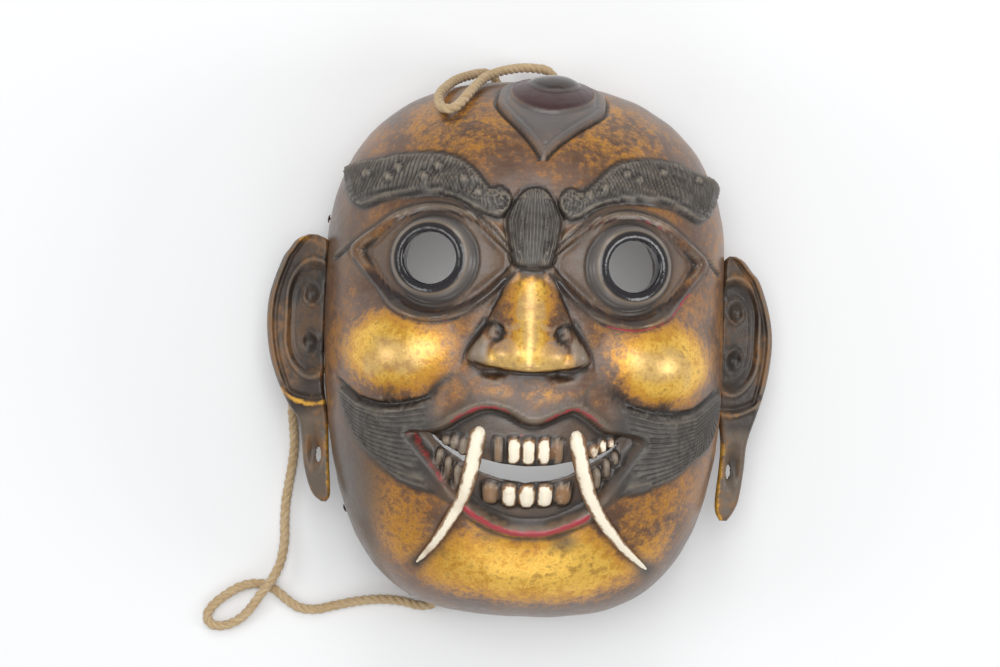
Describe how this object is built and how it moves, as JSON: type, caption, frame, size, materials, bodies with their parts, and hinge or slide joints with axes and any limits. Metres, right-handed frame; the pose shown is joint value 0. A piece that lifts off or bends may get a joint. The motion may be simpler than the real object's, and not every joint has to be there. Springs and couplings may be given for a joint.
{
  "type": "carved wooden dance mask",
  "caption": "Hollow carved wooden dance mask of a fanged, three-eyed guardian with long ears and rope ties, which lies on its flat rim.",
  "frame": {"origin": "bottom centre of the mask and ears, on the plane of the flat rim that it lies on", "axes": "+Z out of the face, +Y towards the crown, +X to the right of someone who looks at the face"},
  "size_m": [0.3442, 0.3624, 0.175],
  "materials": {
    "face_wood": "worn gilding and dark patina, satin",
    "ear_wood": "dark patina with worn gilding, satin",
    "rope": "twisted jute, matt",
    "iron": "rusted, dull"
  },
  "bodies": {
    "root": {"mask_face": "face_wood", "ear_left": "ear_wood", "ear_right": "ear_wood", "rim_nail_1": "iron", "rim_nail_2": "iron", "rim_nail_3": "iron", "rim_nail_4": "iron", "rim_nail_5": "iron", "rim_nail_6": "iron", "side_cord": "rope", "crown_cord": "rope", "side_cord_knot_ear": "rope", "side_cord_knot_jaw": "rope", "crown_cord_knot_right": "rope", "crown_cord_knot_left": "rope"}
  },
  "joints": []
}
